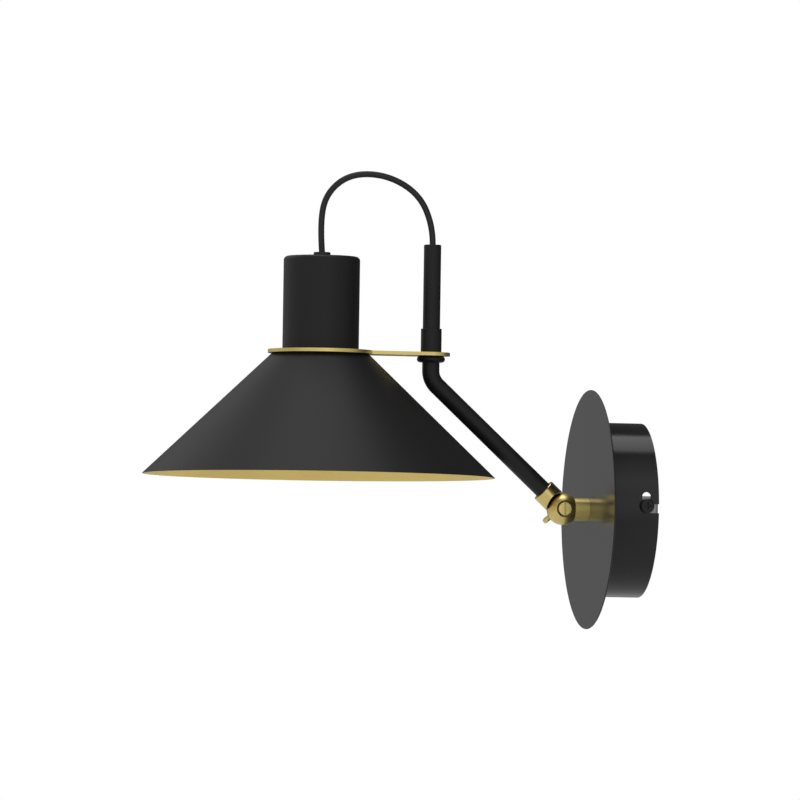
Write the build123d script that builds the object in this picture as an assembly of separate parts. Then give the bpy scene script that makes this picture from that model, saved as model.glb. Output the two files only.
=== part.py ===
from build123d import *
import os
from math import hypot, radians, sqrt, tan

# Wall lamp: a cone shade on a tilting arm, carried by a round canopy.
# Millimetres. The wall is the plane Y = 0, the lamp reaches out along -Y and +Z is up.
# The origin is the middle of the canopy on the wall.

# Fits between pieces
CLOSE_FIT = 0.05        # radial play of threads and of pieces pushed into each other
RUNNING_FIT = 0.08      # radial play of a shaft that turns
HOLE_PLAY = 0.3         # radial play of a screw, nipple or cord in a plain hole
CONTACT_GAP = 0.3       # between the sprung contact and the edge of its well
TIP_GAP = 0.1           # between a screw's tip and what it stops short of

# Canopy
DRUM_D = 126.0
DRUM_DEPTH = 37.1
DRUM_WALL = 1.2
DRUM_CORNER = 2.0
DISC_D = 173.0
DISC_THICK = 1.0
DISC_EDGE = 0.4
SLOT_WIDTH = 6.5
SLOT_REACH = 9.1        # wall to the upright leg of the bayonet slot
SLOT_RISE = 8.5         # from the entry to the top of the slot

# Wall bracket
STRIP_WIDTH = 17.8
STRIP_THICK = 2.0
TAB_PAST_SCREW = 7.9     # from the side screw to the end of the tab
TAB_CORNER = 4.0
WALL_SLOT_INSET = 11.0   # from the outside of a tab to the middle of a wall slot
WALL_SLOT_WIDTH = 5.0
WALL_SLOT_LENGTH = 10.0
CABLE_HOLE_D = 9.0
CABLE_HOLE_X = 12.0

# Side screws
SIDE_SCREW_RISE = 1.8   # from the entry of the slot to the axis of the screw
SIDE_SCREW_D = 5.0
SIDE_SCREW_LENGTH = 8.0
SIDE_HEAD_D = 10.6
SIDE_HEAD_HIGH = 3.0
SIDE_HEAD_ROUND = 2.0
CROSS_SPAN = 5.4
CROSS_WIDTH = 1.4
CROSS_DEEP = 1.6

# Earth screw
EARTH_SCREW_D = 4.0
EARTH_SCREW_X = -20.0
EARTH_HEAD_D = 8.0
EARTH_HEAD_HIGH = 2.6
EARTH_WASHER_D = 9.0
EARTH_WASHER_THICK = 0.8

# Terminal block
BLOCK_GAP = 4.0         # between a wall slot and the block
BLOCK_WIDTH = 17.0      # along the wires
BLOCK_HIGH = 13.0
BLOCK_RIM = 0.9         # of the block, past its outer sleeves
POLE_GAP = 4.5          # between the sleeves of neighbouring poles
POLES = 2
SLEEVE_OUT_D = 6.0
SLEEVE_BORE_D = 3.4
SLEEVE_LONG = 15.0
CLAMP_SCREW_D = 3.0
CLAMP_SCREW_PITCH = 8.0
BLOCK_SCREW_D = 3.0
BLOCK_HEAD_D = 4.6
BLOCK_HEAD_HIGH = 1.8

# Clamping of drum, disc and stem
NIPPLE_D = 10.0
NIPPLE_BORE_D = 7.0
NIPPLE_IN_STEM = 5.9
NIPPLE_PAST_NUT = 2.0
NUT_ACROSS = 14.0
NUT_THICK = 4.0
WASHER_D = 18.0
WASHER_THICK = 1.0
WASHER_TEETH = 10
WASHER_NOTCH = 2.4

# Knuckle
STEM_D = 16.3
STEM_FLOOR = 0.3        # between the nipple's end and the sweep of the ball
BALL_D = 23.0
KNUCKLE_GAP = 1.0       # between the ball and the arm or stem that passes it
FERRULE_WALL = 2.4
FERRULE_FLOOR = 0.75    # between the sweep of the ball and the end of the tube
TUBE_IN_FERRULE = 6.5
FERRULE_EDGE = 0.3
FRICTION_THICK = 0.5
FRICTION_INSET = 0.7    # from the edge of the ball to the edge of the friction ring
CHAMBER_WALL = 3.9      # of the ball, round the room for the wires
CHAMBER_DEEP = 4.0
WIRE_HOLE_D = 4.2
WIRE_HOLE_X = 2.6
PIVOT_SCREW_D = 6.0
PIVOT_HEAD_D = 9.9
PIVOT_HEAD_HIGH = 3.2
PIVOT_SLOT_WIDTH = 1.6
PIVOT_SLOT_DEEP = 1.3
PIVOT_HEAD_EDGE = 0.3
COUNTERBORE_ROOM = 1.3  # round the head of the pivot screw
COUNTERBORE_WEB = 1.8   # between the counterbore and the room for the wires

# Wing nut, on the far side of the knuckle
WING_FLAT = 2.5         # how deep the ball is flattened under the washer
WING_WASHER_D = 13.0
WING_WASHER_THICK = 1.0
WING_HUB_D = 11.6
WING_HUB_TOP_D = 8.6
WING_HUB_HIGH = 6.0
WING_SPAN = 28.0
WING_THICK = 3.4
WING_TIP_R = 3.2
WING_TIP_RISE = 5.4     # from the seat of the nut to the middle of a tip
WING_EDGE = 1.0         # rounding of the edges of a wing
WING_LEAN = 42.5        # degrees that the forward wing points below the horizontal
SCREW_PAST_NUT = 2.0

# Arm
ARM_RISE = 42.74        # degrees above the horizontal
TUBE_D = 12.5
TUBE_WALL = 1.0
TUBE_LIP = 0.7
ELBOW_R = 15.0
ARM_REACH = 98.75       # pivot to the axis of the post, level
POST_ABOVE_PLATE = 77.85
BUSH_LONG = 10.0
COLLAR_RIM = 3.85       # how far the collar stands out from the post
COLLAR_HIGH = 4.55

# Plate that carries the shade
PLATE_ABOVE_ELBOW = 16.99
PLATE_THICK = 2.5
RING_LEDGE = 10.4       # of the plate, round the cup
BAR_WIDTH = 27.5
HUB_WALL = 1.17
HUB_SLEEVE_HIGH = 17.25
HUB_SLEEVE_EDGE = 0.4

# Shade and cup
SHADE_OFFSET = 81.15    # axis of the post to the axis of the shade
RIM_D = 254.0
SHADE_HIGH = 87.95
SHADE_TOP_D = 69.56
SHADE_WALL = 0.8
CUP_ROOM = 4.75         # round the shoulder of the lampholder
CUP_HIGH = 67.35
CUP_WALL = 1.0
CUP_ROUND = 3.0
GRIP_WALL = 1.05
GRIP_HIGH = 3.1
GRIP_CROWN = 1.0
GRIP_ROUND = 0.8

# Lampholder for a 27 mm screw base
HOLDER_D = 39.4
HOLDER_DROP = 13.5      # how far it hangs below the plate
HOLDER_NECK_STEP = 0.7  # how far the neck stands back from the thread
HOLDER_NECK_WALL = 2.0
HOLDER_NECK_HIGH = 15.0
SHOULDER_STEP = 2.05    # how far the shoulder stands out from the thread
SHOULDER_HIGH = 3.0
RING_NUT_D = 50.0
RING_NUT_HIGH = 6.0
SHELL_BORE_D = 26.6
SHELL_WALL = 0.5
SHELL_ROOM = 0.5        # round the shell
SHELL_INSET = 2.0
CONTACT_BASE_THICK = 6.0
SHELL_WINDOW_D = 15.0
CONTACT_WIDTH = 5.0
CONTACT_THICK = 0.5
CONTACT_DROP = 2.5
HOLDER_SCREW_D = 2.6
HOLDER_SCREW_HEAD_D = 4.4
HOLDER_SCREW_HEAD_HIGH = 1.6
CAP_WALL = 1.8
CAP_SKIRT_HIGH = 13.0
CAP_CONE_HIGH = 22.0
CAP_NECK_D = 14.0
CAP_NECK_HIGH = 10.0

# Cord
CORD_D = 4.5
CORE_D = 1.8
CORE_SPREAD = 2.0       # between the two cores where they leave the sheath
TERMINAL_RISE = 7.2     # bracket to the axis of the terminals
CANOPY_BEND_R = 14.0
CORE_FAN = 10.0         # from the end of the sheath to the block
CORE_LEAD = 3.0         # straight length of a core at the sheath and before the block
CORE_BEND_R = 4.0
ARC_SHARE = 0.45        # of the shorter run, taken up by the arc at its end
# Route of the loop in the plane X = 0 from the mouth of the post, as (away from the wall, up)
LOOP_POINTS = [(0, 12.9), (10.1, 36.0), (33.8, 49.5), (61.1, 49.8), (78.8, 35.2), (83.0, 13.3)]

# Sizes and levels that follow from those above
DISC_FACE = DRUM_DEPTH + DISC_THICK
DRUM_FLOOR = DRUM_DEPTH - DRUM_WALL
DRUM_BORE_D = DRUM_D - 2 * DRUM_WALL
TAB_FACE = sqrt((DRUM_BORE_D / 2) ** 2 - (STRIP_WIDTH / 2) ** 2) - HOLE_PLAY
TAB_REACH = SLOT_REACH + TAB_PAST_SCREW
WALL_SLOT_X = TAB_FACE - WALL_SLOT_INSET
BLOCK_X = WALL_SLOT_X - WALL_SLOT_LENGTH / 2 - BLOCK_GAP - BLOCK_WIDTH / 2
BLOCK_FACE = BLOCK_X - BLOCK_WIDTH / 2
POLE_PITCH = SLEEVE_OUT_D + POLE_GAP
POLE_OFFSETS = [POLE_PITCH * (i - (POLES - 1) / 2) for i in range(POLES)]
BLOCK_LONG = POLE_PITCH * (POLES - 1) + SLEEVE_OUT_D + 2 * BLOCK_RIM
TERMINAL_REACH = STRIP_THICK + TERMINAL_RISE
SHEATH_END_X = BLOCK_FACE - CORE_FAN

NUT_SEAT = DRUM_FLOOR - WASHER_THICK
NIPPLE_BACK = NUT_SEAT - NUT_THICK - NIPPLE_PAST_NUT
NIPPLE_FRONT = DISC_FACE + NIPPLE_IN_STEM
NIPPLE_HOLE_D = NIPPLE_D + 2 * HOLE_PLAY
NIPPLE_THREAD_D = NIPPLE_D + 2 * CLOSE_FIT

BALL_SWEEP_R = BALL_D / 2 + KNUCKLE_GAP
STEM_LONG = BALL_SWEEP_R + STEM_FLOOR + NIPPLE_IN_STEM
PIVOT_REACH = DISC_FACE + STEM_LONG
FRICTION_D = BALL_D - 2 * FRICTION_INSET
CHAMBER_D = BALL_D - 2 * CHAMBER_WALL
COUNTERBORE_D = PIVOT_HEAD_D + 2 * COUNTERBORE_ROOM
COUNTERBORE_FLOOR = CHAMBER_DEEP + COUNTERBORE_WEB
WING_SEAT = BALL_D / 2 - WING_FLAT
WING_NUT_SEAT = WING_SEAT + WING_WASHER_THICK
PIVOT_SCREW_TIP = WING_NUT_SEAT + WING_HUB_HIGH + SCREW_PAST_NUT

TUBE_BORE_D = TUBE_D - 2 * TUBE_WALL
TUBE_SEAT_D = TUBE_D + 2 * CLOSE_FIT
FERRULE_D = TUBE_SEAT_D + 2 * FERRULE_WALL
FERRULE_SEAT = BALL_SWEEP_R + FERRULE_FLOOR
FERRULE_END = FERRULE_SEAT + TUBE_IN_FERRULE
POST_REACH = PIVOT_REACH + ARM_REACH
ELBOW_HEIGHT = ARM_REACH * tan(radians(ARM_RISE))
PLATE_LOW = ELBOW_HEIGHT + PLATE_ABOVE_ELBOW
PLATE_TOP = PLATE_LOW + PLATE_THICK
POST_TOP = PLATE_TOP + POST_ABOVE_PLATE
COLLAR_LOW = PLATE_LOW - COLLAR_HIGH
COLLAR_D = TUBE_SEAT_D + 2 * COLLAR_RIM
HUB_BORE_D = TUBE_D + 2 * RUNNING_FIT
HUB_SLEEVE_D = HUB_BORE_D + 2 * HUB_WALL

HOLDER_NECK_D = HOLDER_D - 2 * HOLDER_NECK_STEP
HOLDER_BORE_D = SHELL_BORE_D + 2 * SHELL_WALL + 2 * SHELL_ROOM
HOLDER_HOLE_D = HOLDER_D + 2 * HOLE_PLAY
HOLDER_BOTTOM = PLATE_LOW - HOLDER_DROP
HOLDER_TOP = PLATE_TOP + HOLDER_NECK_HIGH
HOLDER_SCREW_X = (SHELL_BORE_D + SHELL_WINDOW_D) / 4
CONTACT_BASE_D = HOLDER_NECK_D - 2 * HOLDER_NECK_WALL
CONTACT_WELL = CONTACT_THICK + CONTACT_DROP + CONTACT_GAP
CONTACT_LOW = HOLDER_TOP - CONTACT_BASE_THICK
SHELL_LOW = HOLDER_BOTTOM + SHELL_INSET
SHOULDER_D = HOLDER_D + 2 * SHOULDER_STEP
CAP_LOW = PLATE_TOP + SHOULDER_HIGH
CAP_SKIRT_TOP = CAP_LOW + CAP_SKIRT_HIGH
CAP_NECK_LOW = CAP_SKIRT_TOP + CAP_CONE_HIGH
CAP_TOP = CAP_NECK_LOW + CAP_NECK_HIGH

SHADE_REACH = POST_REACH + SHADE_OFFSET
RIM_HEIGHT = PLATE_LOW - SHADE_HIGH
CUP_BORE_D = SHOULDER_D + 2 * CUP_ROOM
CUP_D = CUP_BORE_D + 2 * CUP_WALL
CUP_TOP = PLATE_TOP + CUP_HIGH
RING_D = CUP_D + 2 * RING_LEDGE
GRIP_D = NIPPLE_THREAD_D + 2 * GRIP_WALL
GRIP_TOP = CUP_TOP + GRIP_HIGH
CORD_HOLE_D = CORD_D + 2 * HOLE_PLAY

# Places: local +Z points out of the wall, along +X, along the far side of the pivot, or along the arm
OUT = Rot(90, 0, 0)
PIVOT = Pos(0, -PIVOT_REACH, 0)
NEAR_SIDE = PIVOT * Rot(0, 90, 0)
FAR_SIDE = PIVOT * Rot(0, -90, 0)
ALONG_ARM = PIVOT * Rot(90 - ARM_RISE, 0, 0)
POST_AXIS = Pos(0, -POST_REACH, 0)
SHADE_AXIS = Pos(0, -SHADE_REACH, 0)

UPWARD = (Align.CENTER, Align.CENTER, Align.MIN)


def rod(diameter, length, low=0):
    """Round bar about Z, from a height upward."""
    return Pos(0, 0, low) * Cylinder(diameter / 2, length, align=UPWARD)


def hollow(outside, bore, length, low=0):
    """Round tube about Z, from a height upward."""
    return rod(outside, length, low) - rod(bore, length, low)


def turned(*points):
    """Solid of revolution about Z from (radius, height) corners."""
    outline = Polyline(*[(radius, 0, height) for radius, height in points], close=True)
    return revolve(make_face(outline), Axis.Z)


def top_edge(solid):
    """The outermost of the highest round edges of a solid that stands on Z."""
    highest = solid.edges().filter_by(GeomType.CIRCLE).group_by(Axis.Z)[-1]
    return highest.sort_by(SortBy.RADIUS)[-1]


def swept(profile, path):
    """A flat profile drawn about the origin, carried square to a path."""
    start = Plane(origin=path @ 0, z_dir=path % 0)
    return sweep(start * profile, path=path)


def pan_head(diameter, high, rounding):
    """Pan head on Z = 0 with a cross recess in its crown."""
    head = rod(diameter, high)
    head = fillet(top_edge(head), rounding)
    recess = Box(CROSS_SPAN, CROSS_WIDTH, CROSS_DEEP, align=UPWARD)
    for turn in (0, 90):
        head -= Pos(0, 0, high - CROSS_DEEP) * Rot(0, 0, turn) * recess
    return head


def slotted_head(diameter, high, slot_width, slot_deep, edge=0):
    """Cheese head on Z = 0 with a slot along Y."""
    head = rod(diameter, high)
    if edge:
        head = chamfer(top_edge(head), edge)
    slot = Box(slot_width, diameter, slot_deep, align=UPWARD)
    return head - Pos(0, 0, high - slot_deep) * slot


def toothed_washer(diameter, bore, thick, teeth, notch):
    """Flat washer with a row of notches in its edge."""
    washer = hollow(diameter, bore, thick)
    for i in range(teeth):
        washer -= Rot(0, 0, 360 * i / teeth) * Pos(diameter / 2, 0, 0) * Box(notch, notch / 2, 2 * thick)
    return washer


# Canopy

def canopy_drum():
    drum = fillet(top_edge(rod(DRUM_D, DRUM_DEPTH)), DRUM_CORNER)
    inside = rod(DRUM_BORE_D, DRUM_FLOOR)
    if DRUM_CORNER > DRUM_WALL:
        inside = fillet(top_edge(inside), DRUM_CORNER - DRUM_WALL)
    drum -= inside
    drum -= rod(NIPPLE_HOLE_D, DRUM_DEPTH)
    # the sketch has X up the wall and Y out of it
    slot = Pos(0, SLOT_REACH / 2) * Rectangle(SLOT_WIDTH, SLOT_REACH)
    slot += Pos(0, SLOT_REACH) * Circle(SLOT_WIDTH / 2)
    slot += Pos(SLOT_RISE / 2, SLOT_REACH) * Rectangle(SLOT_RISE, SLOT_WIDTH)
    slot += Pos(SLOT_RISE, SLOT_REACH) * Circle(SLOT_WIDTH / 2)
    drum -= extrude(Plane.YZ * slot, DRUM_D, both=True)
    return OUT * drum


def canopy_disc():
    disc = rod(DISC_D, DISC_THICK)
    disc = fillet(disc.edges().filter_by(GeomType.CIRCLE), DISC_EDGE)
    return OUT * (Pos(0, 0, DRUM_DEPTH) * (disc - rod(NIPPLE_HOLE_D, DISC_THICK)))


def wall_bracket():
    strip = Box(2 * TAB_FACE, STRIP_WIDTH, STRIP_THICK, align=UPWARD)
    for side in (-1, 1):
        tab = Box(STRIP_THICK, STRIP_WIDTH, TAB_REACH, align=UPWARD)
        tab = fillet(tab.edges().filter_by(Axis.X).group_by(Axis.Z)[-1], TAB_CORNER)
        strip += Pos(side * (TAB_FACE - STRIP_THICK / 2), 0, 0) * tab
        slot = SlotOverall(WALL_SLOT_LENGTH, WALL_SLOT_WIDTH)
        strip -= Pos(side * WALL_SLOT_X, 0, 0) * extrude(slot, STRIP_THICK)
    outer_bends = strip.edges().filter_by(Axis.Y).group_by(Axis.Z)[0]
    strip = fillet(outer_bends, STRIP_THICK)
    screw_hole = Rot(0, 90, 0) * Cylinder(SIDE_SCREW_D / 2 + CLOSE_FIT, 3 * TAB_FACE)
    strip -= Pos(0, SIDE_SCREW_RISE, SLOT_REACH) * screw_hole
    strip -= Pos(CABLE_HOLE_X, 0, 0) * rod(CABLE_HOLE_D, STRIP_THICK)
    strip -= Pos(EARTH_SCREW_X, 0, 0) * rod(EARTH_SCREW_D + 2 * CLOSE_FIT, STRIP_THICK)
    strip -= Pos(BLOCK_X, 0, 0) * rod(BLOCK_SCREW_D + 2 * CLOSE_FIT, STRIP_THICK)
    return OUT * strip


def side_screws():
    screw = pan_head(SIDE_HEAD_D, SIDE_HEAD_HIGH, SIDE_HEAD_ROUND)
    screw += rod(SIDE_SCREW_D, SIDE_SCREW_LENGTH, -SIDE_SCREW_LENGTH)
    seat = DRUM_D / 2 + CLOSE_FIT
    place = Pos(0, -SLOT_REACH, SIDE_SCREW_RISE)
    return [place * Pos(side * seat, 0, 0) * Rot(0, side * 90, 0) * screw for side in (1, -1)]


def earth_washer():
    washer = toothed_washer(EARTH_WASHER_D, EARTH_SCREW_D + 2 * HOLE_PLAY, EARTH_WASHER_THICK,
                            WASHER_TEETH, WASHER_NOTCH / 2)
    return OUT * Pos(EARTH_SCREW_X, 0, STRIP_THICK) * washer


def earth_screw():
    grip = STRIP_THICK + EARTH_WASHER_THICK
    screw = slotted_head(EARTH_HEAD_D, EARTH_HEAD_HIGH, CROSS_WIDTH, EARTH_HEAD_HIGH / 2)
    screw += rod(EARTH_SCREW_D, grip, -grip)
    return OUT * Pos(EARTH_SCREW_X, 0, grip) * screw


def clamp_places():
    """Middles of the clamping screws of the terminal block, as (X, height on the wall)."""
    ends = (BLOCK_X - CLAMP_SCREW_PITCH / 2, BLOCK_X + CLAMP_SCREW_PITCH / 2)
    return [(x, pole) for x in ends for pole in POLE_OFFSETS]


def terminal_block():
    block = Pos(BLOCK_X, 0, STRIP_THICK) * Box(BLOCK_WIDTH, BLOCK_LONG, BLOCK_HIGH, align=UPWARD)
    block = fillet(block.edges().filter_by(Axis.Z), SLEEVE_BORE_D / 4)
    bore = Rot(0, 90, 0) * Cylinder(SLEEVE_OUT_D / 2 + CLOSE_FIT, BLOCK_WIDTH)
    for pole in POLE_OFFSETS:
        block -= Pos(BLOCK_X, pole, TERMINAL_REACH) * bore
    for x, pole in clamp_places():
        block -= Pos(x, pole, TERMINAL_REACH) * rod(CLAMP_SCREW_D + 2 * HOLE_PLAY, BLOCK_HIGH)
    block -= Pos(BLOCK_X, 0, 0) * rod(BLOCK_SCREW_D + 2 * HOLE_PLAY, 2 * BLOCK_HIGH)
    return OUT * block


def terminal_sleeves():
    sleeves = []
    for pole in POLE_OFFSETS:
        axis = Pos(BLOCK_X, pole, TERMINAL_REACH) * Rot(0, 90, 0)
        sleeve = axis * (Cylinder(SLEEVE_OUT_D / 2, SLEEVE_LONG) - Cylinder(SLEEVE_BORE_D / 2, SLEEVE_LONG))
        for x, place in clamp_places():
            if place == pole:
                sleeve -= Pos(x, pole, TERMINAL_REACH) * rod(CLAMP_SCREW_D + 2 * CLOSE_FIT, SLEEVE_OUT_D)
        sleeves.append(OUT * sleeve)
    return sleeves


def clamp_screws():
    low = TERMINAL_REACH + CORE_D / 2 + TIP_GAP
    long = STRIP_THICK + BLOCK_HIGH - low
    screw = slotted_head(CLAMP_SCREW_D, long, CLAMP_SCREW_D / 4, CLAMP_SCREW_D / 3)
    return [OUT * Pos(x, pole, low) * screw for x, pole in clamp_places()]


def block_screw():
    grip = STRIP_THICK + BLOCK_HIGH
    screw = slotted_head(BLOCK_HEAD_D, BLOCK_HEAD_HIGH, CROSS_WIDTH / 2, BLOCK_HEAD_HIGH / 2)
    return OUT * Pos(BLOCK_X, 0, grip) * (screw + rod(BLOCK_SCREW_D, grip, -grip))


def stem_nipple():
    return OUT * hollow(NIPPLE_D, NIPPLE_BORE_D, NIPPLE_FRONT - NIPPLE_BACK, NIPPLE_BACK)


def stem_washer():
    washer = toothed_washer(WASHER_D, NIPPLE_HOLE_D, WASHER_THICK, WASHER_TEETH, WASHER_NOTCH)
    return OUT * Pos(0, 0, NUT_SEAT) * washer


def stem_nut():
    hexagon = RegularPolygon(NUT_ACROSS / 2, 6, major_radius=False)
    nut = extrude(hexagon - Circle(NIPPLE_THREAD_D / 2), NUT_THICK)
    return OUT * Pos(0, 0, NUT_SEAT - NUT_THICK) * nut


# Knuckle, drawn with the pivot at the origin and the pivot axis along X

def half_of_ball(arm, side):
    """A round arm that ends in one half of a ball: side is 1 for +X and -1 for -X."""
    split = side * (FRICTION_THICK / 2 + BALL_D / 2)
    own_side = Pos(split, 0, 0) * Box(BALL_D, 3 * BALL_D, 3 * BALL_D)
    passing = Sphere(BALL_SWEEP_R)
    return (arm - passing) + ((arm + Sphere(BALL_D / 2)) & own_side)


def knuckle_bores(side):
    """Room for the pivot screw and the ring of room round it for the wires, in one half."""
    across = Rot(0, side * 90, 0)
    room = across * rod(PIVOT_SCREW_D + 2 * RUNNING_FIT, BALL_D)
    return room + across * rod(CHAMBER_D, CHAMBER_DEEP)


def knuckle_base():
    to_wall = Rot(-90, 0, 0)
    base = half_of_ball(to_wall * rod(STEM_D, STEM_LONG), 1)
    base -= knuckle_bores(1)
    base -= Rot(0, 90, 0) * rod(COUNTERBORE_D, BALL_D, COUNTERBORE_FLOOR)
    floor = STEM_LONG - NIPPLE_IN_STEM - TIP_GAP
    base -= to_wall * rod(NIPPLE_THREAD_D, STEM_LONG - floor, floor)
    base -= Pos(WIRE_HOLE_X, 0, 0) * to_wall * rod(WIRE_HOLE_D, floor)
    return PIVOT * base


def knuckle_arm():
    ferrule = chamfer(top_edge(rod(FERRULE_D, FERRULE_END)), FERRULE_EDGE)
    arm = half_of_ball(ferrule, -1)
    arm -= knuckle_bores(-1)
    arm -= Rot(0, -90, 0) * rod(BALL_D, BALL_D, WING_SEAT)
    arm -= rod(TUBE_SEAT_D, TUBE_IN_FERRULE, FERRULE_SEAT)
    arm -= Pos(-WIRE_HOLE_X, 0, 0) * rod(WIRE_HOLE_D, FERRULE_SEAT)
    return ALONG_ARM * arm


def friction_ring():
    return NEAR_SIDE * hollow(FRICTION_D, CHAMBER_D, FRICTION_THICK, -FRICTION_THICK / 2)


def pivot_screw():
    screw = Pos(0, 0, COUNTERBORE_FLOOR) * Rot(0, 0, 90) * slotted_head(
        PIVOT_HEAD_D, PIVOT_HEAD_HIGH, PIVOT_SLOT_WIDTH, PIVOT_SLOT_DEEP, PIVOT_HEAD_EDGE)
    screw += rod(PIVOT_SCREW_D, COUNTERBORE_FLOOR + PIVOT_SCREW_TIP, -PIVOT_SCREW_TIP)
    return NEAR_SIDE * screw


def wing_washer():
    washer = hollow(WING_WASHER_D, PIVOT_SCREW_D + 2 * HOLE_PLAY, WING_WASHER_THICK, WING_SEAT)
    return FAR_SIDE * washer


def wing_nut():
    hub = turned((0, 0), (WING_HUB_D / 2, 0), (WING_HUB_TOP_D / 2, WING_HUB_HIGH), (0, WING_HUB_HIGH))
    tip = (WING_SPAN / 2 - WING_TIP_R, WING_TIP_RISE)
    low_root = (WING_HUB_TOP_D / 4, WING_TIP_R / 2)
    high_root = (WING_HUB_TOP_D / 4, WING_HUB_HIGH - WING_TIP_R / 4)
    outline = make_hull((Pos(*tip) * Circle(WING_TIP_R)).edges() + Polyline(low_root, high_root).edges())
    wing = extrude(Plane.XZ * outline, WING_THICK / 2, both=True)
    flats = wing.faces().filter_by(Axis.Y)
    wing = fillet([edge for flat in flats for edge in flat.edges()], WING_EDGE)
    for turn in (0, 180):
        hub += Rot(0, 0, turn) * wing
    hub -= rod(PIVOT_SCREW_D + 2 * RUNNING_FIT, 3 * WING_HUB_HIGH, -WING_HUB_HIGH)
    return FAR_SIDE * Pos(0, 0, WING_NUT_SEAT) * Rot(0, 0, -90 - WING_LEAN) * hub


# Arm

def arm_route(start):
    """Centre line of the arm, from a distance along it to the top of the post."""
    foot = (ALONG_ARM * Pos(0, 0, start)).position
    corner = Vector(0, -POST_REACH, ELBOW_HEIGHT)
    return FilletPolyline(foot, corner, Vector(0, -POST_REACH, POST_TOP), radius=ELBOW_R)


def arm_tube():
    route = arm_route(FERRULE_SEAT)
    tube = swept(Circle(TUBE_D / 2), route) - swept(Circle(TUBE_BORE_D / 2), route)
    return fillet(top_edge(tube), TUBE_LIP)


def post_bush():
    return POST_AXIS * hollow(TUBE_BORE_D - 2 * CLOSE_FIT, CORD_HOLE_D, BUSH_LONG, POST_TOP - BUSH_LONG)


def stop_collar():
    collar = rod(COLLAR_D, COLLAR_HIGH, COLLAR_LOW)
    collar = fillet(collar.edges().filter_by(GeomType.CIRCLE), COLLAR_HIGH / 2 - CLOSE_FIT)
    return POST_AXIS * (collar - rod(TUBE_SEAT_D, COLLAR_HIGH, COLLAR_LOW))


# Head

def bracket_plate():
    plate = Pos(0, -SHADE_REACH) * Circle(RING_D / 2)
    plate += Pos(0, -POST_REACH - SHADE_OFFSET / 2) * Rectangle(BAR_WIDTH, SHADE_OFFSET)
    plate += Pos(0, -POST_REACH) * Circle(BAR_WIDTH / 2)
    plate -= Pos(0, -SHADE_REACH) * Circle(HOLDER_HOLE_D / 2)
    plate -= Pos(0, -POST_REACH) * Circle(HUB_BORE_D / 2)
    return Pos(0, 0, PLATE_LOW) * extrude(plate, PLATE_THICK)


def hub_sleeve():
    sleeve = fillet(top_edge(rod(HUB_SLEEVE_D, HUB_SLEEVE_HIGH, PLATE_TOP)), HUB_SLEEVE_EDGE)
    return POST_AXIS * (sleeve - rod(HUB_BORE_D, HUB_SLEEVE_HIGH, PLATE_TOP))


def lamp_cup():
    cup = fillet(top_edge(rod(CUP_D, CUP_HIGH)), CUP_ROUND)
    inside = fillet(top_edge(rod(CUP_BORE_D, CUP_HIGH - CUP_WALL)), CUP_ROUND - CUP_WALL)
    return SHADE_AXIS * Pos(0, 0, PLATE_TOP) * (cup - inside - rod(NIPPLE_HOLE_D, CUP_HIGH))


def cord_grip():
    grip = fillet(top_edge(rod(GRIP_D, GRIP_HIGH)), GRIP_ROUND)
    grip -= rod(NIPPLE_THREAD_D, GRIP_HIGH - GRIP_CROWN)
    return SHADE_AXIS * Pos(0, 0, CUP_TOP) * (grip - rod(CORD_HOLE_D, GRIP_HIGH))


def shade():
    spread = (RIM_D - SHADE_TOP_D) / 2
    inset = SHADE_WALL * hypot(SHADE_HIGH, spread) / SHADE_HIGH
    top_inside = SHADE_TOP_D / 2 + spread * SHADE_WALL / SHADE_HIGH - inset
    cone = turned((HOLDER_HOLE_D / 2, PLATE_LOW), (SHADE_TOP_D / 2, PLATE_LOW), (RIM_D / 2, RIM_HEIGHT),
                  (RIM_D / 2 - inset, RIM_HEIGHT), (top_inside, PLATE_LOW - SHADE_WALL),
                  (HOLDER_HOLE_D / 2, PLATE_LOW - SHADE_WALL))
    return SHADE_AXIS * cone


def shade_ring():
    top = PLATE_LOW - SHADE_WALL
    ring = hollow(RING_NUT_D, HOLDER_D + 2 * CLOSE_FIT, RING_NUT_HIGH, top - RING_NUT_HIGH)
    return SHADE_AXIS * ring


def lampholder_body():
    body = rod(HOLDER_D, PLATE_TOP - HOLDER_BOTTOM, HOLDER_BOTTOM)
    body += rod(SHOULDER_D, SHOULDER_HIGH, PLATE_TOP)
    body += rod(HOLDER_NECK_D, HOLDER_NECK_HIGH, PLATE_TOP)
    body -= rod(HOLDER_BORE_D, HOLDER_TOP - HOLDER_BOTTOM, HOLDER_BOTTOM)
    body -= rod(CONTACT_BASE_D + 2 * CLOSE_FIT, CONTACT_BASE_THICK, CONTACT_LOW)
    return SHADE_AXIS * body


def screw_shell():
    shell = hollow(SHELL_BORE_D + 2 * SHELL_WALL, SHELL_BORE_D, CONTACT_LOW - SHELL_LOW, SHELL_LOW)
    shell += hollow(SHELL_BORE_D + SHELL_WALL, SHELL_WINDOW_D, SHELL_WALL, CONTACT_LOW - SHELL_WALL)
    for side in (-1, 1):
        shell -= Pos(side * HOLDER_SCREW_X, 0, 0) * rod(HOLDER_SCREW_D + 2 * CLOSE_FIT, CONTACT_LOW)
    return SHADE_AXIS * shell


def contact_base():
    base = rod(CONTACT_BASE_D, CONTACT_BASE_THICK, CONTACT_LOW)
    screw_hole = rod(HOLDER_SCREW_D + 2 * HOLE_PLAY, CONTACT_BASE_THICK, CONTACT_LOW)
    for side in (-1, 1):
        base -= Pos(side * HOLDER_SCREW_X, 0, 0) * screw_hole
    return SHADE_AXIS * (base - rod(SHELL_WINDOW_D, CONTACT_WELL, CONTACT_LOW))


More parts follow.
